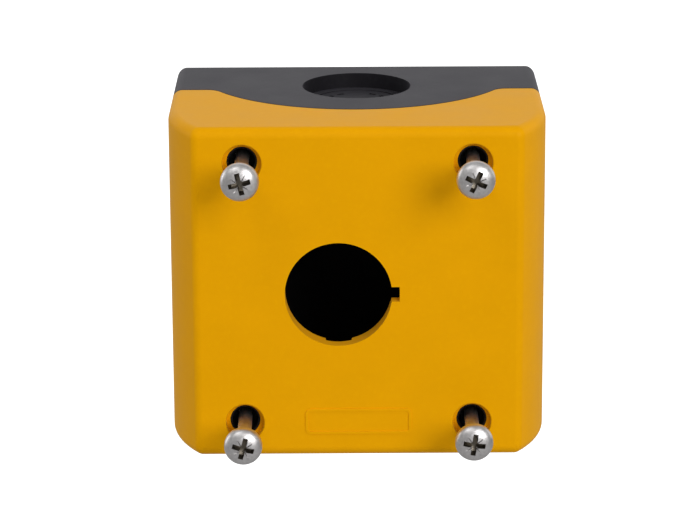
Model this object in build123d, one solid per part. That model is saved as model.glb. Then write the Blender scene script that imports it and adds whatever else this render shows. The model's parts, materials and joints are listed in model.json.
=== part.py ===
"""Single-station push-button enclosure: black wall base, yellow cover, captive cover screws.

Row frame, millimetres: origin at the centre of the wall face, +X right, +Z up, front towards -Y.
Depths are counted from the front face, so that y = depth - DEPTH.
"""

import os
from math import radians, sin, sqrt, tan

from build123d import *

# ---- driving dimensions -------------------------------------------------------------------
WIDTH = 79.8  # widest, across the side walls
HEIGHT = 71.7
DEPTH = 56.0  # wall face to front face
HOLE_R = 11.25  # 22.5 mm control-device hole
HOLE_X = -4.1  # the hole sits left of centre, in line with the contact rails
KEY_WIDTH = 3.2  # anti-rotation notch of that hole
KEY_REACH = 12.85  # hole centre to the notch's far side
SCREW_X = 24.0  # cover screws, half spacing
SCREW_Z = 28.3
ENTRY_R = 11.75  # seat round each cable knockout
ENTRY_DEPTH = 38.1  # depth of the cable entries' axis

# ---- outer skin ---------------------------------------------------------------------------
SIDE_R = 31.0  # arc of each side wall, seen from above
SIDE_END = 18.1  # depth where that arc is widest
DRAFT = radians(0.35)  # side walls close in again behind it
EDGE_R = 2.1
WALL = 3.0
FRONT_WALL = 3.0
BACK_WALL = 3.0

# ---- parting line -------------------------------------------------------------------------
PART_DEPTH = 34.8  # straight stretch, at the corners and down the sides
TONGUE_R = 34.5
TONGUE_TIP = 16.5  # foremost depth of the base's tongues
SHOULDER_R = 3.3
PART_GAP = 0.45  # shadow gap between cover and base

# ---- gasket -------------------------------------------------------------------------------
GASKET_OUT = 1.0  # groove's outer wall, measured in from the skin
GASKET_WIDTH = 1.2
GASKET_SINK = 1.4  # groove depth below the base's rim
GASKET_CLEAR = 0.05

# ---- collar and screw tubes of the cover ---------------------------------------------------
COLLAR_R = 14.2
COLLAR_END = 4.4
COLLAR_SLOT = 5.5
TUBE_R = 5.3
TUBE_END = 28.2
SEAT_R = 4.05  # counterbore for a screw head
SEAT_DEPTH = 2.4
SEAT_EDGE_R = 0.3
SEAL_BORE_R = 3.2
SEAL_END = 8.0
SCREW_BORE_R = 2.5
RUN_CLEAR = 0.08  # all round a retaining ring
RING_LENGTH = 1.4
RING_PLACE = 23.4  # under the head to the ring's front end

# ---- name plate ----------------------------------------------------------------------------
PLATE_WIDTH = 22.4
PLATE_HEIGHT = 5.6
PLATE_Z = -28.0
PLATE_LINE = 0.55
PLATE_RAISE = 0.22
PLATE_CORNER_R = 1.2

# ---- cover screws --------------------------------------------------------------------------
HEAD_R = 3.95
HEAD_HEIGHT = 2.9
HEAD_RIM = 0.9
CROWN_FLAT_R = 0.8
SHANK_R = 1.45
THREAD_R = 1.95
THREAD_LENGTH = 11.0
TIP_CHAMFER = 0.6
SCREW_LENGTH = 49.0  # under the head
RECESS_REACH = 2.45
RECESS_WIDTH = 1.0
RECESS_DEPTH = 1.9
SCREWS = {
    # corner: (x side, z side, stand-out of the head's underside from the front face, turn of its cross)
    "top_left": (-1, 1, 13.4, -14),
    "top_right": (1, 1, 12.7, 25),
    "bottom_left": (-1, -1, 13.8, 15),
    "bottom_right": (1, -1, 12.1, 8),
}

# ---- inside of the base ---------------------------------------------------------------------
POST_R = 5.2
POST_START = 36.0
INSERT_R = 2.9
INSERT_BORE_R = 2.05
INSERT_LENGTH = 10.0
PILOT_END = 52.6
BOSS_R = 13.6  # thickening under each cable entry
SEAT_FLOOR = 3.3  # depth of the seat round a knockout
DISC_R = 10.25
DISC_THICKNESS = 1.5
DISC_GROOVE = 0.5
DIMPLE_R = 6.6  # small dimples in the disc, left and right of centre
DIMPLE_SIZE = (1.7, 1.0)
DIMPLE_DEPTH = 0.25
DIMPLE_ANGLES = (32, 58, -32, -58, 148, 122, -148, -122)
REAR_DISC_X = 11.0
REAR_DISC_Z = 14.5
REAR_DISC_R = 8.2
REAR_SEAT_R = 9.6
REAR_SEAT_DEPTH = 1.5
RAIL_HALF = 17.0  # contact rails, half spacing about the hole's axis
RAIL_THICK = 1.8
RAIL_HEIGHT = 6.0
RAIL_HALF_Z = 19.0
HOOK_REACH = 1.1
FIXING_X = 31.0  # wall-fixing holes, half spacing
FIXING_Z = 15.0
FIXING_R = 2.2
FIXING_COLLAR_R = 4.4
FIXING_COLLAR = 3.0
LIP_THICK = 1.3  # locating lips along the side walls
LIP_CLEAR = 0.3
LIP_RISE = 2.4
LIP_HALF_Z = 17.0

HALF_X = WIDTH / 2
HALF_Z = HEIGHT / 2
FRONT = -DEPTH
LONG = 200.0  # longer than anything here


def at(depth):
    """y of a depth counted from the front face."""
    return depth - DEPTH


def along_y(x, z, start, end, radius):
    """Round bar along Y at x, z from one depth to another."""
    bar = extrude(Plane.XZ * Circle(radius), amount=-(end - start))
    return Pos(x, at(start), z) * bar


def box(low, high):
    """Box between two corners."""
    size = [b - a for a, b in zip(low, high)]
    middle = [(a + b) / 2 for a, b in zip(low, high)]
    return Pos(*middle) * Box(*size)


# ---- skin and parting surface ---------------------------------------------------------------
def side_half_x(depth, inset=0.0):
    """Half width at a depth: the side wall's arc, then its straight drafted run."""
    run_out = SIDE_END + SIDE_R * sin(DRAFT)
    if depth <= run_out:
        centre = HALF_X - SIDE_R
        return centre + sqrt((SIDE_R - inset) ** 2 - (SIDE_END - depth) ** 2)
    return side_half_x(run_out, inset) - (depth - run_out) * tan(DRAFT)


def skin(inset=0.0, front_inset=0.0, back_inset=0.0, edge_r=0.0):
    """The enclosure's outer block, or the same block taken in by a wall."""
    front, back = front_inset, DEPTH - back_inset
    run_out = SIDE_END + SIDE_R * sin(DRAFT)
    ends = {depth: (side_half_x(depth, inset), at(depth)) for depth in (front, SIDE_END / 2, run_out, back)}
    left = {depth: (-x, y) for depth, (x, y) in ends.items()}
    plan = Wire(
        [
            Line(left[front], ends[front]),
            ThreePointArc(ends[front], ends[SIDE_END / 2], ends[run_out]),
            Line(ends[run_out], ends[back]),
            Line(ends[back], left[back]),
            Line(left[back], left[run_out]),
            ThreePointArc(left[run_out], left[SIDE_END / 2], left[front]),
        ]
    )
    block = extrude(Face(plan), amount=HALF_Z - inset, both=True)
    if edge_r:
        block = fillet([e for e in block.edges() if is_soft_edge(e)], edge_r)
    return block


def is_soft_edge(edge):
    """True for the front rim, the four edges that run back from it and the back's two upright edges."""
    middle, size = edge.center(), edge.bounding_box().size
    on_front = abs(middle.Y - FRONT) < 0.001
    runs_back = size.Y > 1 and abs(middle.Z) > HALF_Z - 1
    back_upright = abs(middle.Y) < 0.001 and size.X < 0.001
    return on_front or runs_back or back_upright


def parting(shift=0.0):
    """Everything in front of the parting surface, moved back by shift."""
    y_flat = at(PART_DEPTH) + shift
    y_centre = at(TONGUE_TIP + TONGUE_R) + shift
    x_meet = sqrt(TONGUE_R**2 - (y_centre - y_flat) ** 2)
    outline = Wire(
        [
            Line((-LONG, -LONG), (LONG, -LONG)),
            Line((LONG, -LONG), (LONG, y_flat)),
            Line((LONG, y_flat), (x_meet, y_flat)),
            ThreePointArc((x_meet, y_flat), (0, y_centre - TONGUE_R), (-x_meet, y_flat)),
            Line((-x_meet, y_flat), (-LONG, y_flat)),
            Line((-LONG, y_flat), (-LONG, -LONG)),
        ]
    )
    area = Face(outline)
    corners = [v for v in area.vertices() if abs(abs(v.X) - x_meet) < 1e-3]
    area = fillet(corners, SHOULDER_R)
    return extrude(area, amount=LONG / 2, both=True)


def hollow():
    """The empty space inside."""
    return skin(WALL, FRONT_WALL, BACK_WALL)


# ---- cover ------------------------------------------------------------------------------------
def name_plate():
    """Blank raised frame below the hole."""
    y_face = FRONT + 0.1
    outer = RectangleRounded(PLATE_WIDTH, PLATE_HEIGHT, PLATE_CORNER_R)
    inner = RectangleRounded(
        PLATE_WIDTH - 2 * PLATE_LINE, PLATE_HEIGHT - 2 * PLATE_LINE, PLATE_CORNER_R - PLATE_LINE
    )
    frame = extrude(Plane.XZ * (outer - inner), amount=PLATE_RAISE + 0.1)
    return Pos(0, y_face, PLATE_Z) * frame


def cover_shell(outer, void):
    """Yellow cover with the device hole, its collar and four screw tubes."""
    shell = (outer - void) & parting(-PART_GAP / 2)
    collar = along_y(HOLE_X, 0, FRONT_WALL - 0.5, COLLAR_END, COLLAR_R)
    half, reach = COLLAR_SLOT / 2, COLLAR_R + 1
    for low, high in (((-half, -reach), (half, 0)), ((0, -half), (reach, half))):
        collar -= box(
            (HOLE_X + low[0], at(FRONT_WALL), low[1]), (HOLE_X + high[0], at(COLLAR_END) + 1, high[1])
        )
    shell += collar
    clear_of_base = (outer & parting(-PART_GAP / 2)) + skin(WALL + PART_GAP, FRONT_WALL, BACK_WALL)
    for x_side, z_side, *_ in SCREWS.values():
        tube = along_y(x_side * SCREW_X, z_side * SCREW_Z, FRONT_WALL - 0.5, TUBE_END, TUBE_R)
        shell += tube & clear_of_base
    shell -= along_y(HOLE_X, 0, -1, COLLAR_END + 1, HOLE_R)
    shell -= box(
        (HOLE_X + HOLE_R - 2, FRONT - 1, -KEY_WIDTH / 2),
        (HOLE_X + KEY_REACH, at(COLLAR_END) + 1, KEY_WIDTH / 2),
    )
    for x_side, z_side, *_ in SCREWS.values():
        x, z = x_side * SCREW_X, z_side * SCREW_Z
        shell -= along_y(x, z, -1, SEAT_DEPTH, SEAT_R)
        shell -= along_y(x, z, SEAT_DEPTH - 1, SEAL_END, SEAL_BORE_R)
        shell -= along_y(x, z, SEAL_END - 1, TUBE_END + 1, SCREW_BORE_R)
    rims = [
        e
        for e in shell.edges().filter_by(GeomType.CIRCLE)
        if abs(e.center().Y - FRONT) < 1e-3 and abs(e.radius - SEAT_R) < 1e-3
    ]
    shell = fillet(rims, SEAT_EDGE_R)
    return shell + name_plate()


# ---- base ---------------------------------------------------------------------------------------
def entry_cut(z_side):
    """Seat and hole of a cable entry in the top or bottom wall."""
    plane = Plane((0, at(ENTRY_DEPTH), z_side * HALF_Z), x_dir=(1, 0, 0), z_dir=(0, 0, -z_side))
    seat = extrude(plane * Circle(ENTRY_R), amount=SEAT_FLOOR)
    above = extrude(plane * Circle(ENTRY_R), amount=-2)
    hole = extrude(plane * Circle(DISC_R), amount=SEAT_FLOOR + DISC_THICKNESS + 1)
    return seat + above + hole


def entry_boss(z_side):
    """Local thickening of the wall round a cable entry."""
    plane = Plane((0, at(ENTRY_DEPTH), z_side * HALF_Z), x_dir=(1, 0, 0), z_dir=(0, 0, -z_side))
    ring = Pos(0, 0, WALL / 2) * extrude(Circle(BOSS_R), amount=SEAT_FLOOR + DISC_THICKNESS - WALL / 2)
    return plane.location * ring


def knockout_disc(z_side):
    """Break-out disc of a cable entry, with its groove and shallow mould dimples."""
    plane = Plane((0, at(ENTRY_DEPTH), z_side * (HALF_Z - SEAT_FLOOR)), x_dir=(1, 0, 0), z_dir=(0, 0, -z_side))
    disc = extrude(Circle(DISC_R), amount=DISC_THICKNESS)
    disc -= extrude(Circle(DISC_R) - Circle(DISC_R - 2 * DISC_GROOVE), amount=DISC_GROOVE)
    disc += extrude(Circle(DISC_R) - Circle(DISC_R - DISC_GROOVE), amount=DISC_GROOVE)
    dimple = extrude(Rectangle(*DIMPLE_SIZE), amount=DIMPLE_DEPTH)
    for angle in DIMPLE_ANGLES:
        disc -= Rot(0, 0, angle) * Pos(0, DIMPLE_R, 0) * dimple
    return plane.location * disc


def rear_disc():
    """Break-out disc of the rear cable entry."""
    disc = along_y(REAR_DISC_X, REAR_DISC_Z, DEPTH - BACK_WALL, DEPTH - REAR_SEAT_DEPTH, REAR_DISC_R)
    groove = along_y(
        REAR_DISC_X, REAR_DISC_Z, DEPTH - REAR_SEAT_DEPTH - DISC_GROOVE, DEPTH, REAR_DISC_R - DISC_GROOVE
    )
    core = along_y(REAR_DISC_X, REAR_DISC_Z, DEPTH - BACK_WALL, DEPTH, REAR_DISC_R - 2 * DISC_GROOVE)
    return disc - (groove - core)


def contact_rails():
    """Two hooked ribs on the back wall that hold contact elements behind the hole."""
    rails = []
    y_floor, y_top = at(DEPTH - BACK_WALL), at(DEPTH - BACK_WALL - RAIL_HEIGHT)
    for side in (-1, 1):
        x_inner = HOLE_X + side * RAIL_HALF
        x_outer = x_inner + side * RAIL_THICK
        x_hook = x_inner - side * HOOK_REACH
        section = Plane.XY * Polygon(
            (x_outer, y_floor + 0.5),
            (x_outer, y_top),
            (x_inner, y_top),
            (x_hook, y_top + HOOK_REACH),
            (x_inner, y_top + 2 * HOOK_REACH),
            (x_inner, y_floor + 0.5),
            align=None,
        )
        rails.append(extrude(section, amount=RAIL_HALF_Z, both=True))
    return rails


def gasket_ring(front_shift, back_shift, slack=0.0):
    """Ring inside the wall, between two copies of the parting surface."""
    outer = skin(GASKET_OUT - slack)
    inner = skin(GASKET_OUT + GASKET_WIDTH + slack, GASKET_OUT, GASKET_OUT)
    band = (outer - inner) & parting(back_shift)
    return band - parting(front_shift)


def locating_lips():
    """Low lips on the side walls that steer the cover on."""
    lips = []
    for side in (-1, 1):
        x_out = side_half_x(PART_DEPTH, WALL) - LIP_CLEAR
        low_x, high_x = sorted((side * (x_out - LIP_THICK), side * x_out))
        rise = box(
            (low_x, at(PART_DEPTH - LIP_RISE), -LIP_HALF_Z),
            (high_x, at(PART_DEPTH) + 1, LIP_HALF_Z),
        )
        low_x, high_x = sorted((side * (x_out - LIP_THICK), side * (x_out + 2 * LIP_CLEAR)))
        root = box(
            (low_x, at(PART_DEPTH) + PART_GAP / 2, -LIP_HALF_Z),
            (high_x, at(PART_DEPTH) + 5, LIP_HALF_Z),
        )
        lips += [rise, root]
    return lips


def base_shell(outer, void):
    """Black base with tongues, screw posts, cable entries and wall-fixing holes."""
    shell = (outer - void) - parting(PART_GAP / 2)
    within = outer - parting(PART_GAP / 2)
    for z_side in (-1, 1):
        shell += entry_boss(z_side) & within
    for x_side, z_side, *_ in SCREWS.values():
        post = along_y(x_side * SCREW_X, z_side * SCREW_Z, POST_START, DEPTH - BACK_WALL / 2, POST_R)
        shell += post & within
    for rail in contact_rails():
        shell += rail
    for lip in locating_lips():
        shell += lip
    for x_side in (-1, 1):
        for z_side in (-1, 1):
            x, z = x_side * FIXING_X, z_side * FIXING_Z
            start = DEPTH - BACK_WALL - FIXING_COLLAR
            shell += along_y(x, z, start, DEPTH - 1, FIXING_COLLAR_R)
            shell -= along_y(x, z, start - 1, DEPTH + 1, FIXING_R)
    for z_side in (-1, 1):
        shell -= entry_cut(z_side)
    for x_side, z_side, *_ in SCREWS.values():
        x, z = x_side * SCREW_X, z_side * SCREW_Z
        shell -= along_y(x, z, POST_START - 1, POST_START + INSERT_LENGTH, INSERT_R)
        shell -= along_y(x, z, POST_START, PILOT_END, INSERT_BORE_R)
    shell -= along_y(REAR_DISC_X, REAR_DISC_Z, DEPTH - REAR_SEAT_DEPTH, DEPTH + 1, REAR_SEAT_R)
    shell -= along_y(REAR_DISC_X, REAR_DISC_Z, DEPTH - BACK_WALL - 1, DEPTH + 1, REAR_DISC_R)
    shell -= gasket_ring(-LONG / 2, PART_GAP / 2 + GASKET_SINK, GASKET_CLEAR)
    return shell


# ---- small pieces -------------------------------------------------------------------------------
def cover_gasket():
    """Sealing cord in the base's groove, proud by the shadow gap."""
    return gasket_ring(-PART_GAP / 2 + GASKET_CLEAR, PART_GAP / 2 + GASKET_SINK)


def turned(points):
    """Solid of revolution about Y from (radius, y) points."""
    section = Face(Wire([Line(a, b) for a, b in zip(points, points[1:] + points[:1])]))
    return revolve(section, Axis.Y)


def screw_seal(x, z):
    """Rubber sleeve in the cover's tube: open mouth, then a lip round the shank."""
    mouth_r = 2.8
    lip_r = SHANK_R + 0.1
    start, end = at(SEAT_DEPTH), at(SEAL_END)
    lip = 1.4
    round_over = 0.15
    sleeve = turned(
        [
            (mouth_r + round_over, start),
            (SEAL_BORE_R - round_over, start),
            (SEAL_BORE_R, start + round_over),
            (SEAL_BORE_R, end),
            (lip_r, end),
            (lip_r, end - lip / 2),
            (mouth_r, end - lip),
            (mouth_r, start + round_over),
        ]
    )
    return Pos(x, 0, z) * sleeve


def cover_screw():
    """Pan-head cover screw, underside of the head at y = 0, shank towards +Y."""
    thread = SCREW_LENGTH - THREAD_LENGTH
    shank = turned(
        [
            (0, -0.2),
            (SHANK_R, -0.2),
            (SHANK_R, thread),
            (THREAD_R, thread + TIP_CHAMFER),
            (THREAD_R, SCREW_LENGTH - TIP_CHAMFER),
            (THREAD_R - TIP_CHAMFER, SCREW_LENGTH),
            (0, SCREW_LENGTH),
        ]
    )
    shoulder = (HEAD_R * 0.66, 0.55 - HEAD_HEIGHT)
    dome = Wire(
        [
            Line((0, -HEAD_HEIGHT), (0, 0)),
            Line((0, 0), (HEAD_R, 0)),
            Line((HEAD_R, 0), (HEAD_R, -HEAD_RIM)),
            ThreePointArc((HEAD_R, -HEAD_RIM), shoulder, (CROWN_FLAT_R, -HEAD_HEIGHT)),
            Line((CROWN_FLAT_R, -HEAD_HEIGHT), (0, -HEAD_HEIGHT)),
        ]
    )
    head = revolve(Face(dome), Axis.Y)
    for angle in (0, 90):
        arm = Box(2 * RECESS_REACH, RECESS_DEPTH, RECESS_WIDTH)
        head -= Rot(0, angle, 0) * Pos(0, RECESS_DEPTH / 2 - HEAD_HEIGHT, 0) * arm
    return head + shank


def retaining_ring():
    """Nylon ring on a cover screw's shank, front end at y = 0; it slides in the cover's tube."""
    bore_r = SHANK_R + RUN_CLEAR
    outer_r = SCREW_BORE_R - RUN_CLEAR
    ring = Circle(outer_r) - Circle(bore_r)
    return extrude(Plane.XZ * ring, amount=-RING_LENGTH)


def thread_insert(x, z):
    """Brass insert for a cover screw, with a grip groove round its waist."""
    start, end = at(POST_START), at(POST_START + INSERT_LENGTH)
    third = INSERT_LENGTH / 3
    groove = 0.4
    insert = turned(
        [
            (INSERT_BORE_R, start),
            (INSERT_R, start),
            (INSERT_R, start + third),
            (INSERT_R - groove, start + third),
            (INSERT_R - groove, end - third),
            (INSERT_R, end - third),
            (INSERT_R, end),
            (INSERT_BORE_R, end),
        ]
    )
    return Pos(x, 0, z) * insert


def main():
    os.makedirs("parts", exist_ok=True)
    outer = skin(edge_r=EDGE_R)
    void = hollow()
    screw = cover_screw()
    ring = retaining_ring()
    nodes = {
        "cover_shell": cover_shell(outer, void),
        "base_shell": base_shell(outer, void),
        "cover_gasket": cover_gasket(),
        "knockout_disc_top": knockout_disc(1),
        "knockout_disc_bottom": knockout_disc(-1),
        "knockout_disc_rear": rear_disc(),
    }
    for corner, (x_side, z_side, stand_out, turn) in SCREWS.items():
        x, z = x_side * SCREW_X, z_side * SCREW_Z
        nodes[f"cover_screw_{corner}"] = Pos(x, FRONT - stand_out, z) * Rot(0, turn, 0) * screw
        nodes[f"retaining_ring_{corner}"] = Pos(x, FRONT - stand_out + RING_PLACE, z) * ring
        nodes[f"screw_seal_{corner}"] = screw_seal(x, z)
        nodes[f"thread_insert_{corner}"] = thread_insert(x, z)
    for name, shape in nodes.items():
        export_step(shape, f"parts/{name}.step")


if __name__ == "__main__":
    main()
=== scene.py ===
"""Looks of the push-button enclosure: moulded plastics, cold-formed screws, soft studio light."""

import json
from math import cos, pi, radians, sin

import bmesh
import bpy
from mathutils import Matrix, Vector


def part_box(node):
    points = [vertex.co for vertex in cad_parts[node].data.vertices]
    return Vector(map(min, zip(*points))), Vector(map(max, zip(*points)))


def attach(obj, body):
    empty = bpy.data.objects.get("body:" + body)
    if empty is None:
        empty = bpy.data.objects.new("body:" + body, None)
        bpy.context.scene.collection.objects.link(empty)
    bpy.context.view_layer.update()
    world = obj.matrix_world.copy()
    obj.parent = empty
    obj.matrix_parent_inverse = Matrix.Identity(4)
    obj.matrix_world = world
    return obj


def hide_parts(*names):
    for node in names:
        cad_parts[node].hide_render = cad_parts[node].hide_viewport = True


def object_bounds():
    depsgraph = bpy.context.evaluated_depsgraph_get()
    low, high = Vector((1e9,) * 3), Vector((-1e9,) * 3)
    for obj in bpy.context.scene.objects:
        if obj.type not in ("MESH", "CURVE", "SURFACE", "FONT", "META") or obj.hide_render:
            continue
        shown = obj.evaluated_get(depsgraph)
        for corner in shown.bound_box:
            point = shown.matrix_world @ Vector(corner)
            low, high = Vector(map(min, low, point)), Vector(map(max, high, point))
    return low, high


MM = 0.001
CORNERS = ("top_left", "top_right", "bottom_left", "bottom_right")

# cover screw, millimetres, y = 0 under the head, shank towards +Y
HEAD_R = 3.95
HEAD_HEIGHT = 2.9
RIM_HEIGHT = 0.9
RIM_ROUND = 0.18
SHANK_R = 1.45
SCREW_LENGTH = 49.0
THREAD_LENGTH = 11.0
THREAD_CREST_R = 1.94
THREAD_ROOT_R = 1.52
PITCH = 0.7
RECESS_SPAN = 4.9
RECESS_WIDTH = 1.05
RECESS_DEPTH = 2.3
TICK_SPAN = 4.3
TICK_WIDTH = 0.2
TICK_DEPTH = 0.1
CUT_CLEARANCE = 0.4  # cutters start this far above the crown
NECK_CHAMFER = 0.25  # under the head
POINT_LENGTH = 0.6
POINT_DROP = 0.45
RUN_IN_TURNS = 1.5
SCREW_SEGMENTS = 96
DOME_STEPS = 26
RIM_STEPS = 6
RINGS_PER_TURN = 10
SMOOTH_UP_TO = 34  # degrees; sharper edges stay sharp
CROSS_TURN = {"top_left": -14, "top_right": 25, "bottom_left": 15, "bottom_right": 8}

# camera that matches the photograph: metres and degrees in the row frame
CAMERA_AT = (-0.00258, -0.71656, 0.20266)
CAMERA_LENS = 169.8
CAMERA_YAW = 0.081
CAMERA_PITCH = 16.48
CAMERA_ROLL = -0.27
CAMERA_SENSOR = 36.0  # millimetres
CAMERA_REACH = (0.05, 50.0)

# moulded surfaces, metres: size of each relief's features
FLOW_SIZE = 0.011
SPECK_SIZE = 0.0011
WAVE_SIZE = 0.009
PEBBLE_SIZE = 0.0009
GRAIN_SIZE = 0.00022
WAVE_DEPTH = 2e-5
PEBBLE_DEPTH = 1.6e-5
GRAIN_DEPTH = 9e-6
# width of the lighter band along sharp edges: partly wear, partly a painted edge highlight
EDGE_WEAR_AND_HIGHLIGHT = 0.0004

# studio
LIGHTS = {
    # name: (place in metres, watts, side of the square in metres)
    "key": ((0.94, -1.60, 0.80), 21.5, 1.0),
    "overhead": ((-0.75, -1.00, 1.60), 5.9, 0.9),
    "left_fill": ((-2.00, 0.45, 0.40), 7.6, 1.2),
    "right_fill": ((2.00, 0.90, 0.50), 3.6, 1.2),
}
ROOM_FRONT = 0.43
ROOM_BACK = 0.80
ROOM_RISE = (0.2, 0.95)  # how far back the room starts and ends brightening
LIGHT_AIM = (0, -0.03, 0)
FLOOR_WHITE = 0.45
FLOOR_SIZE = 6.0
FLOOR_DROP = 0.45


# ---- materials --------------------------------------------------------------------------------
class Graph:
    """A material's node tree, with short calls for the nodes used here."""

    def __init__(self, name):
        self.material = bpy.data.materials.new(name)
        self.material.use_nodes = True
        self.tree = self.material.node_tree
        self.tree.nodes.clear()
        self.shader = self.tree.nodes.new("ShaderNodeBsdfPrincipled")
        output = self.tree.nodes.new("ShaderNodeOutputMaterial")
        self.link(self.shader.outputs["BSDF"], output.inputs["Surface"])
        self.place = self.tree.nodes.new("ShaderNodeTexCoord").outputs["Object"]

    def link(self, source, target):
        self.tree.links.new(source, target)

    def noise(self, size, detail=3.0, rough=0.5, stretch=(1, 1, 1)):
        """Noise with features of a given size in metres, stretched along the axes."""
        mapping = self.tree.nodes.new("ShaderNodeMapping")
        mapping.inputs["Scale"].default_value = [1 / (size * s) for s in stretch]
        self.link(self.place, mapping.inputs["Vector"])
        node = self.tree.nodes.new("ShaderNodeTexNoise")
        node.inputs["Scale"].default_value = 1.0
        node.inputs["Detail"].default_value = detail
        node.inputs["Roughness"].default_value = rough
        self.link(mapping.outputs["Vector"], node.inputs["Vector"])
        return node.outputs["Fac"]

    def spread(self, value, low, high, start=0.3, end=0.7):
        """A 0-1 value stretched to low..high."""
        node = self.tree.nodes.new("ShaderNodeMapRange")
        node.inputs["From Min"].default_value = start
        node.inputs["From Max"].default_value = end
        node.inputs["To Min"].default_value = low
        node.inputs["To Max"].default_value = high
        self.link(value, node.inputs["Value"])
        return node.outputs["Result"]

    def blend(self, value, first, second):
        """Colour between first and second, either of which may be a node's output."""
        node = self.tree.nodes.new("ShaderNodeMix")
        node.data_type = "RGBA"
        for socket, colour in ((node.inputs[6], first), (node.inputs[7], second)):
            if isinstance(colour, bpy.types.NodeSocket):
                self.link(colour, socket)
            else:
                socket.default_value = (*colour, 1)
        self.link(value, node.inputs[0])
        return node.outputs[2]

    def edges(self, radius):
        """0 on flats, 1 within a radius in metres of a sharp edge."""
        rounded = self.tree.nodes.new("ShaderNodeBevel")
        rounded.samples = 6
        rounded.inputs["Radius"].default_value = radius
        real = self.tree.nodes.new("ShaderNodeNewGeometry")
        match = self.tree.nodes.new("ShaderNodeVectorMath")
        match.operation = "DOT_PRODUCT"
        self.link(rounded.outputs["Normal"], match.inputs[0])
        self.link(real.outputs["Normal"], match.inputs[1])
        return self.spread(match.outputs["Value"], 1, 0, 0.8, 0.99)

    def bump(self, height, depth, strength=1.0, after=None):
        """Relief of a given depth in metres, laid over an earlier one."""
        node = self.tree.nodes.new("ShaderNodeBump")
        node.inputs["Distance"].default_value = depth
        node.inputs["Strength"].default_value = strength
        self.link(height, node.inputs["Height"])
        if after:
            self.link(after, node.inputs["Normal"])
        return node.outputs["Normal"]

    def finish(self, colour, roughness, normal, metallic=0.0, specular=0.5):
        shader = self.shader.inputs
        shader["Metallic"].default_value = metallic
        shader["Specular IOR Level"].default_value = specular
        self.link(colour, shader["Base Color"])
        self.link(roughness, shader["Roughness"])
        self.link(normal, shader["Normal"])
        return self.material


def tinted(colour, factor):
    return tuple(min(1.0, c * factor) for c in colour)


def moulded(name, colour, wear_and_edge_highlight, roughness, specular, mottle, sheen, sheen_tint):
    """Spark-eroded moulded plastic: flow mottling, fine grain, edges lightened in colour, partly as wear
    from handling and partly as a painted highlight.
    """
    g = Graph(name)
    g.shader.inputs["Sheen Weight"].default_value = sheen
    g.shader.inputs["Sheen Roughness"].default_value = 0.35
    g.shader.inputs["Sheen Tint"].default_value = (*sheen_tint, 1)
    flow = g.noise(FLOW_SIZE, 4.0, 0.55, (1.0, 1.0, 0.7))
    speck = g.noise(SPECK_SIZE, 2.0, 0.6)
    body = g.blend(g.spread(flow, 0, 1), tinted(colour, 1 - mottle), tinted(colour, 1 + mottle))
    body = g.blend(g.spread(speck, 0.0, 0.16, 0.5, 0.75), body, wear_and_edge_highlight)
    # lighter colour along sharp edges: partly handling wear, partly a painted highlight where the edges
    # catch the light
    body = g.blend(g.spread(g.edges(EDGE_WEAR_AND_HIGHLIGHT), 0.0, 0.4, 0.0, 1.0), body, wear_and_edge_highlight)
    gloss = g.spread(flow, roughness - 0.03, roughness + 0.04)
    waves = g.bump(g.noise(WAVE_SIZE, 1.0, 0.4), WAVE_DEPTH, 0.4)
    pebble = g.bump(g.noise(PEBBLE_SIZE, 3.0, 0.55), PEBBLE_DEPTH, 0.7, waves)
    grain = g.bump(g.noise(GRAIN_SIZE, 3.0, 0.65), GRAIN_DEPTH, 1.0, pebble)
    return g.finish(body, gloss, grain, specular=specular)


def formed_steel(name, colour, roughness):
    """Cold-formed stainless steel: fine turning lines round the screw's axis, dull spots."""
    g = Graph(name)
    lines = g.noise(0.00012, 2.0, 0.5, (1.0, 14.0, 1.0))
    spots = g.noise(0.0006, 3.0, 0.6)
    grime = g.noise(0.0022, 3.0, 0.5)
    body = g.blend(g.spread(spots, 0, 1), tinted(colour, 0.86), tinted(colour, 1.06))
    body = g.blend(g.spread(grime, 0.0, 0.35, 0.5, 0.8), body, tinted(colour, 0.55))
    gloss = g.spread(spots, roughness - 0.07, roughness + 0.1)
    relief = g.bump(lines, 4e-6, 0.8)
    relief = g.bump(spots, 8e-6, 0.6, relief)
    return g.finish(body, gloss, relief, metallic=1.0)


def elastomer(name, colour):
    """Matt rubber with a dusty bloom."""
    g = Graph(name)
    bloom = g.noise(0.0016, 4.0, 0.6)
    body = g.blend(g.spread(bloom, 0, 1), colour, tinted(colour, 1.9))
    return g.finish(body, g.spread(bloom, 0.66, 0.86), g.bump(g.noise(0.0004, 2.0), 1.2e-5), specular=0.3)


def turned_brass(name, colour):
    """Turned brass with rings round the insert's axis and a light tarnish."""
    g = Graph(name)
    rings = g.noise(0.0002, 2.0, 0.5, (20.0, 1.0, 20.0))
    tarnish = g.noise(0.0018, 3.0, 0.6)
    body = g.blend(g.spread(tarnish, 0, 1), tinted(colour, 0.7), tinted(colour, 1.1))
    return g.finish(body, g.spread(tarnish, 0.25, 0.42), g.bump(rings, 1e-5, 0.8), metallic=1.0)


def plain_nylon(name, colour):
    """Natural nylon, slightly waxy."""
    g = Graph(name)
    cloud = g.noise(0.0014, 3.0, 0.5)
    body = g.blend(g.spread(cloud, 0, 1), tinted(colour, 0.9), tinted(colour, 1.05))
    return g.finish(body, g.spread(cloud, 0.34, 0.48), g.bump(g.noise(0.0005, 2.0), 8e-6), specular=0.5)


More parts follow.
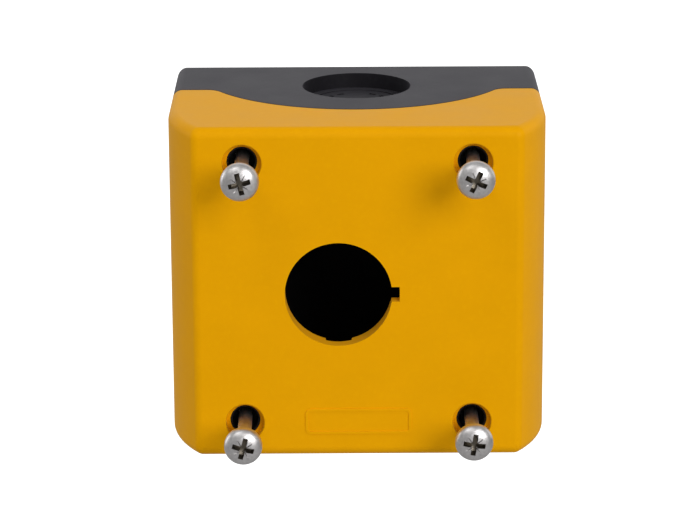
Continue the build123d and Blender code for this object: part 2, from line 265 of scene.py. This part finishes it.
def studio_floor(name):
    """Pale paper that looks over-lit, as a lightbox does, without throwing that light back up."""
    g = Graph(name)
    cloud = g.noise(0.4, 2.0, 0.4)
    white = (1, 1, 1)
    body = g.blend(g.spread(cloud, 0, 1), tinted(white, FLOOR_WHITE), tinted(white, FLOOR_WHITE * 1.04))
    seen = g.tree.nodes.new("ShaderNodeLightPath")
    g.link(seen.outputs["Is Camera Ray"], g.shader.inputs["Emission Strength"])
    g.shader.inputs["Emission Color"].default_value = (1, 1, 1, 1)
    return g.finish(body, g.spread(cloud, 0.85, 0.95), g.bump(cloud, 1e-4), specular=0.1)


# ---- screws -----------------------------------------------------------------------------------
def add_ring(mesh, radius_at, y, count):
    """Ring of vertices round the Y axis; radius_at gives the radius at an angle."""
    ring = []
    for i in range(count):
        angle = 2 * pi * i / count
        r = radius_at(angle) * MM
        ring.append(mesh.verts.new((r * cos(angle), y * MM, r * sin(angle))))
    return ring


def skin_rings(mesh, rings):
    """Faces between neighbouring rings, with both ends closed."""
    count = len(rings[0])
    for first, second in zip(rings, rings[1:]):
        for i in range(count):
            j = (i + 1) % count
            mesh.faces.new((first[i], second[i], second[j], first[j]))
    for ring in (rings[0], rings[-1]):
        mesh.faces.new(ring)
    bmesh.ops.recalc_face_normals(mesh, faces=mesh.faces)


def to_mesh(bm, name):
    mesh = bpy.data.meshes.new(name)
    bm.to_mesh(mesh)
    bm.free()
    return mesh


def head_profile():
    """(radius, y) from the crown's centre over the dome to the head's underside."""
    rise = HEAD_HEIGHT - RIM_HEIGHT
    points = [
        (HEAD_R * sin(pi / 2 * i / DOME_STEPS), -RIM_HEIGHT - rise * cos(pi / 2 * i / DOME_STEPS))
        for i in range(1, DOME_STEPS + 1)
    ]
    for i in range(RIM_STEPS + 1):
        angle = pi / 2 * i / RIM_STEPS
        points.append((HEAD_R - RIM_ROUND * (1 - cos(angle)), -RIM_ROUND * (1 - sin(angle))))
    points.append((SHANK_R + NECK_CHAMFER, 0))
    points.append((SHANK_R, NECK_CHAMFER))
    return points


def thread_radius(y, angle):
    """Radius of the threaded end at a height and angle: one right-hand helix with run-out and point."""
    start = SCREW_LENGTH - THREAD_LENGTH
    phase = ((y - start) / PITCH - angle / (2 * pi)) % 1.0
    flank = 1 - abs(2 * phase - 1)
    run_in = min(1.0, max(0.0, (y - start) / (RUN_IN_TURNS * PITCH)))
    run_out = min(1.0, max(0.0, (SCREW_LENGTH - y) / POINT_LENGTH))
    crest = THREAD_ROOT_R + (THREAD_CREST_R - THREAD_ROOT_R) * flank * run_in
    return SHANK_R + (crest - SHANK_R) * min(1.0, run_in * 3) - POINT_DROP * (1 - run_out)


def screw_blank():
    """The screw before its recess is struck."""
    bm = bmesh.new()
    rings = [add_ring(bm, lambda angle, r=r: r, y, SCREW_SEGMENTS) for r, y in head_profile()]
    thread_start = SCREW_LENGTH - THREAD_LENGTH
    rings.append(add_ring(bm, lambda angle: SHANK_R, thread_start - 0.1, SCREW_SEGMENTS))
    steps = int(THREAD_LENGTH / PITCH * RINGS_PER_TURN)
    for i in range(steps + 1):
        y = thread_start + THREAD_LENGTH * i / steps
        rings.append(add_ring(bm, lambda angle, y=y: thread_radius(y, angle), y, SCREW_SEGMENTS))
    skin_rings(bm, rings)
    return to_mesh(bm, "screw_blank")


def cross_outline(span, width):
    """Twelve corners of a plus sign."""
    a, b = span / 2, width / 2
    quarter = [(a, -b), (a, b), (b, b)]
    points = []
    for turn in range(4):
        c, s = cos(turn * pi / 2), sin(turn * pi / 2)
        points += [(x * c - z * s, x * s + z * c) for x, z in quarter]
    return points


def prism(levels):
    """Closed solid through outlines of (x, z) points at given y."""
    bm = bmesh.new()
    rings = [[bm.verts.new((x * MM, y * MM, z * MM)) for x, z in outline] for y, outline in levels]
    skin_rings(bm, rings)
    return to_mesh(bm, "cutter")


def recess_cutter():
    """Tapered cross wings that meet in a blunt point."""
    top = -HEAD_HEIGHT - CUT_CLEARANCE
    floor = -HEAD_HEIGHT + RECESS_DEPTH
    return prism(
        [
            (top, cross_outline(RECESS_SPAN * 1.06, RECESS_WIDTH * 1.04)),
            (floor - 0.5, cross_outline(RECESS_SPAN * 0.72, RECESS_WIDTH * 0.9)),
            (floor, cross_outline(RECESS_SPAN * 0.4, RECESS_WIDTH * 0.8)),
        ]
    )


def tick_cutter():
    """Four shallow radial notches between the wings, following the dome."""
    top = -HEAD_HEIGHT - CUT_CLEARANCE
    outline = cross_outline(TICK_SPAN, TICK_WIDTH)
    inner = cross_outline(TICK_SPAN * 0.5, TICK_WIDTH * 0.6)
    turn = Matrix.Rotation(pi / 4, 4, "Y")
    mesh = prism(
        [(top, outline), (-HEAD_HEIGHT + TICK_DEPTH + 0.34, outline), (-HEAD_HEIGHT + 0.8, inner)]
    )
    mesh.transform(turn)
    return mesh


def struck(blank, cutters):
    """The blank's mesh with the cutters taken out, in a new mesh that keeps each one's material."""
    work = bpy.data.objects.new("screw_work", blank)
    bpy.context.scene.collection.objects.link(work)
    tools = []
    for mesh in cutters:
        tool = bpy.data.objects.new("screw_tool", mesh)
        bpy.context.scene.collection.objects.link(tool)
        tools.append(tool)
        cut = work.modifiers.new("cut", "BOOLEAN")
        cut.operation = "DIFFERENCE"
        cut.solver = "EXACT"
        cut.material_mode = "TRANSFER"
        cut.object = tool
    bpy.context.view_layer.update()
    done = bpy.data.meshes.new_from_object(work.evaluated_get(bpy.context.evaluated_depsgraph_get()))
    for obj in [work, *tools]:
        mesh = obj.data
        bpy.data.objects.remove(obj)
        bpy.data.meshes.remove(mesh)
    done.shade_smooth()
    done.set_sharp_from_angle(angle=radians(SMOOTH_UP_TO))
    return done


def place_screws(material, recess_painted_shade):
    blank, recess, ticks = screw_blank(), recess_cutter(), tick_cutter()
    # the recess cutter's faces pass on a darker steel finish: painted shade inside the cross recess
    for mesh, finish in ((blank, material), (recess, recess_painted_shade), (ticks, material)):
        mesh.materials.append(finish)
    mesh = struck(blank, [recess, ticks])
    mesh.name = "cover_screw"
    for corner in CORNERS:
        node = f"cover_screw_{corner}"
        low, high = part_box(node)
        middle = (low + high) / 2
        screw = bpy.data.objects.new(f"screw_{corner}_detailed", mesh)
        screw.location = (middle.x, low.y + HEAD_HEIGHT * MM, middle.z)
        screw.rotation_euler = (0, radians(CROSS_TURN[corner]), 0)
        bpy.context.scene.collection.objects.link(screw)
        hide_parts(node)
        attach(screw, f"screw_{corner}")


# ---- stage --------------------------------------------------------------------------------------
def place_floor():
    bm = bmesh.new()
    bmesh.ops.create_grid(bm, x_segments=8, y_segments=8, size=FLOOR_SIZE)
    floor = bpy.data.objects.new("floor", to_mesh(bm, "floor"))
    floor.location = (0, 0, cad_low.z - FLOOR_DROP)
    floor.data.materials.append(studio_floor("floor_paint"))
    bpy.context.scene.collection.objects.link(floor)


def soft_box(name, place, watts, side):
    """Square area light aimed near the object's centre."""
    lamp = bpy.data.lights.new(name, "AREA")
    lamp.energy = watts
    lamp.size = side
    holder = bpy.data.objects.new(name, lamp)
    holder.location = place
    aim = Vector(LIGHT_AIM) - Vector(place)
    holder.rotation_euler = aim.to_track_quat("-Z", "Y").to_euler()
    bpy.context.scene.collection.objects.link(holder)


def light_world():
    """White room as the camera sees it, dim in front and brighter behind as the object sees it."""
    world = bpy.data.worlds.new("studio")
    world.use_nodes = True
    tree = world.node_tree
    direction = tree.nodes.new("ShaderNodeTexCoord")
    axes = tree.nodes.new("ShaderNodeSeparateXYZ")
    tree.links.new(direction.outputs["Generated"], axes.inputs[0])
    level = tree.nodes.new("ShaderNodeMapRange")
    level.interpolation_type = "SMOOTHSTEP"
    level.inputs["From Min"].default_value = ROOM_RISE[0]
    level.inputs["From Max"].default_value = ROOM_RISE[1]
    level.inputs["To Min"].default_value = ROOM_FRONT
    level.inputs["To Max"].default_value = ROOM_BACK
    tree.links.new(axes.outputs["Y"], level.inputs["Value"])
    seen = tree.nodes.new("ShaderNodeLightPath")
    choice = tree.nodes.new("ShaderNodeMix")
    tree.links.new(seen.outputs["Is Camera Ray"], choice.inputs["Factor"])
    tree.links.new(level.outputs["Result"], choice.inputs["A"])
    choice.inputs["B"].default_value = 1.0
    tree.links.new(choice.outputs["Result"], tree.nodes["Background"].inputs["Strength"])
    tree.nodes["Background"].inputs["Color"].default_value = (1, 1, 1, 1)
    bpy.context.scene.world = world


def place_camera():
    yaw, pitch, roll = radians(CAMERA_YAW), radians(CAMERA_PITCH), radians(CAMERA_ROLL)
    ahead = Vector((sin(yaw) * cos(pitch), cos(yaw) * cos(pitch), -sin(pitch)))
    right = Vector((cos(yaw), -sin(yaw), 0))
    up = right.cross(ahead)
    turned_right = right * cos(roll) + up * sin(roll)
    turned_up = -right * sin(roll) + up * cos(roll)
    lens = bpy.data.cameras.new("camera")
    lens.lens = CAMERA_LENS
    lens.sensor_width = CAMERA_SENSOR
    lens.clip_start, lens.clip_end = CAMERA_REACH
    camera = bpy.data.objects.new("camera", lens)
    axes = Matrix((turned_right, turned_up, -ahead)).transposed()
    camera.matrix_world = Matrix.Translation(CAMERA_AT) @ axes.to_4x4()
    bpy.context.scene.collection.objects.link(camera)
    bpy.context.scene.camera = camera


# ---- build --------------------------------------------------------------------------------------
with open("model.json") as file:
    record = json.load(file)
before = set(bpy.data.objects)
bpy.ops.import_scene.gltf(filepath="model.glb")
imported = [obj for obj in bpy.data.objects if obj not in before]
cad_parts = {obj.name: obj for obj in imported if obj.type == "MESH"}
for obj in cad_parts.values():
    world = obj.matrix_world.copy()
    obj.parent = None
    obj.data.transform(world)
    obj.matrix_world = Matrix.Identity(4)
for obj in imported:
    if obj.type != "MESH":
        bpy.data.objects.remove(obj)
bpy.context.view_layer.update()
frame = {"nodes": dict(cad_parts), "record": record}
cad_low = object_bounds()[0]

finishes = {
    "yellow_plastic": moulded(
        "yellow_moulding",
        colour=(0.82, 0.37, 0.0),
        wear_and_edge_highlight=(0.90, 0.46, 0.0),
        roughness=0.42,
        specular=0.04,
        mottle=0.02,
        sheen=0.10,
        sheen_tint=(1.0, 0.97, 0.4),
    ),
    "black_plastic": moulded(
        "black_moulding",
        colour=(0.0115, 0.0108, 0.0130),
        wear_and_edge_highlight=(0.030, 0.029, 0.033),
        roughness=0.47,
        specular=0.09,
        mottle=0.14,
        sheen=0.13,
        sheen_tint=(0.90, 0.87, 1.0),
    ),
    "gasket_rubber": elastomer("gasket_rubber", (0.004, 0.004, 0.004)),
    "screw_steel": formed_steel("screw_steel", (0.63, 0.61, 0.605), 0.38),
    "ring_nylon": plain_nylon("ring_nylon", (0.70, 0.68, 0.62)),
    "insert_brass": turned_brass("insert_brass", (0.72, 0.50, 0.20)),
}
for part in frame["record"]["subparts"]:
    slots = frame["nodes"][part["node"]].data.materials
    slots.clear()
    slots.append(finishes[part["material_slot"]])

# the cross recess gets a dark brown steel colour: painted shade inside the recess
place_screws(finishes["screw_steel"], formed_steel("screw_recess_painted_shade", (0.20, 0.175, 0.14), 0.42))
place_floor()
light_world()
for name, (place, watts, side) in LIGHTS.items():
    soft_box(name, place, watts, side)
place_camera()
bpy.context.scene.view_settings.view_transform = "Standard"
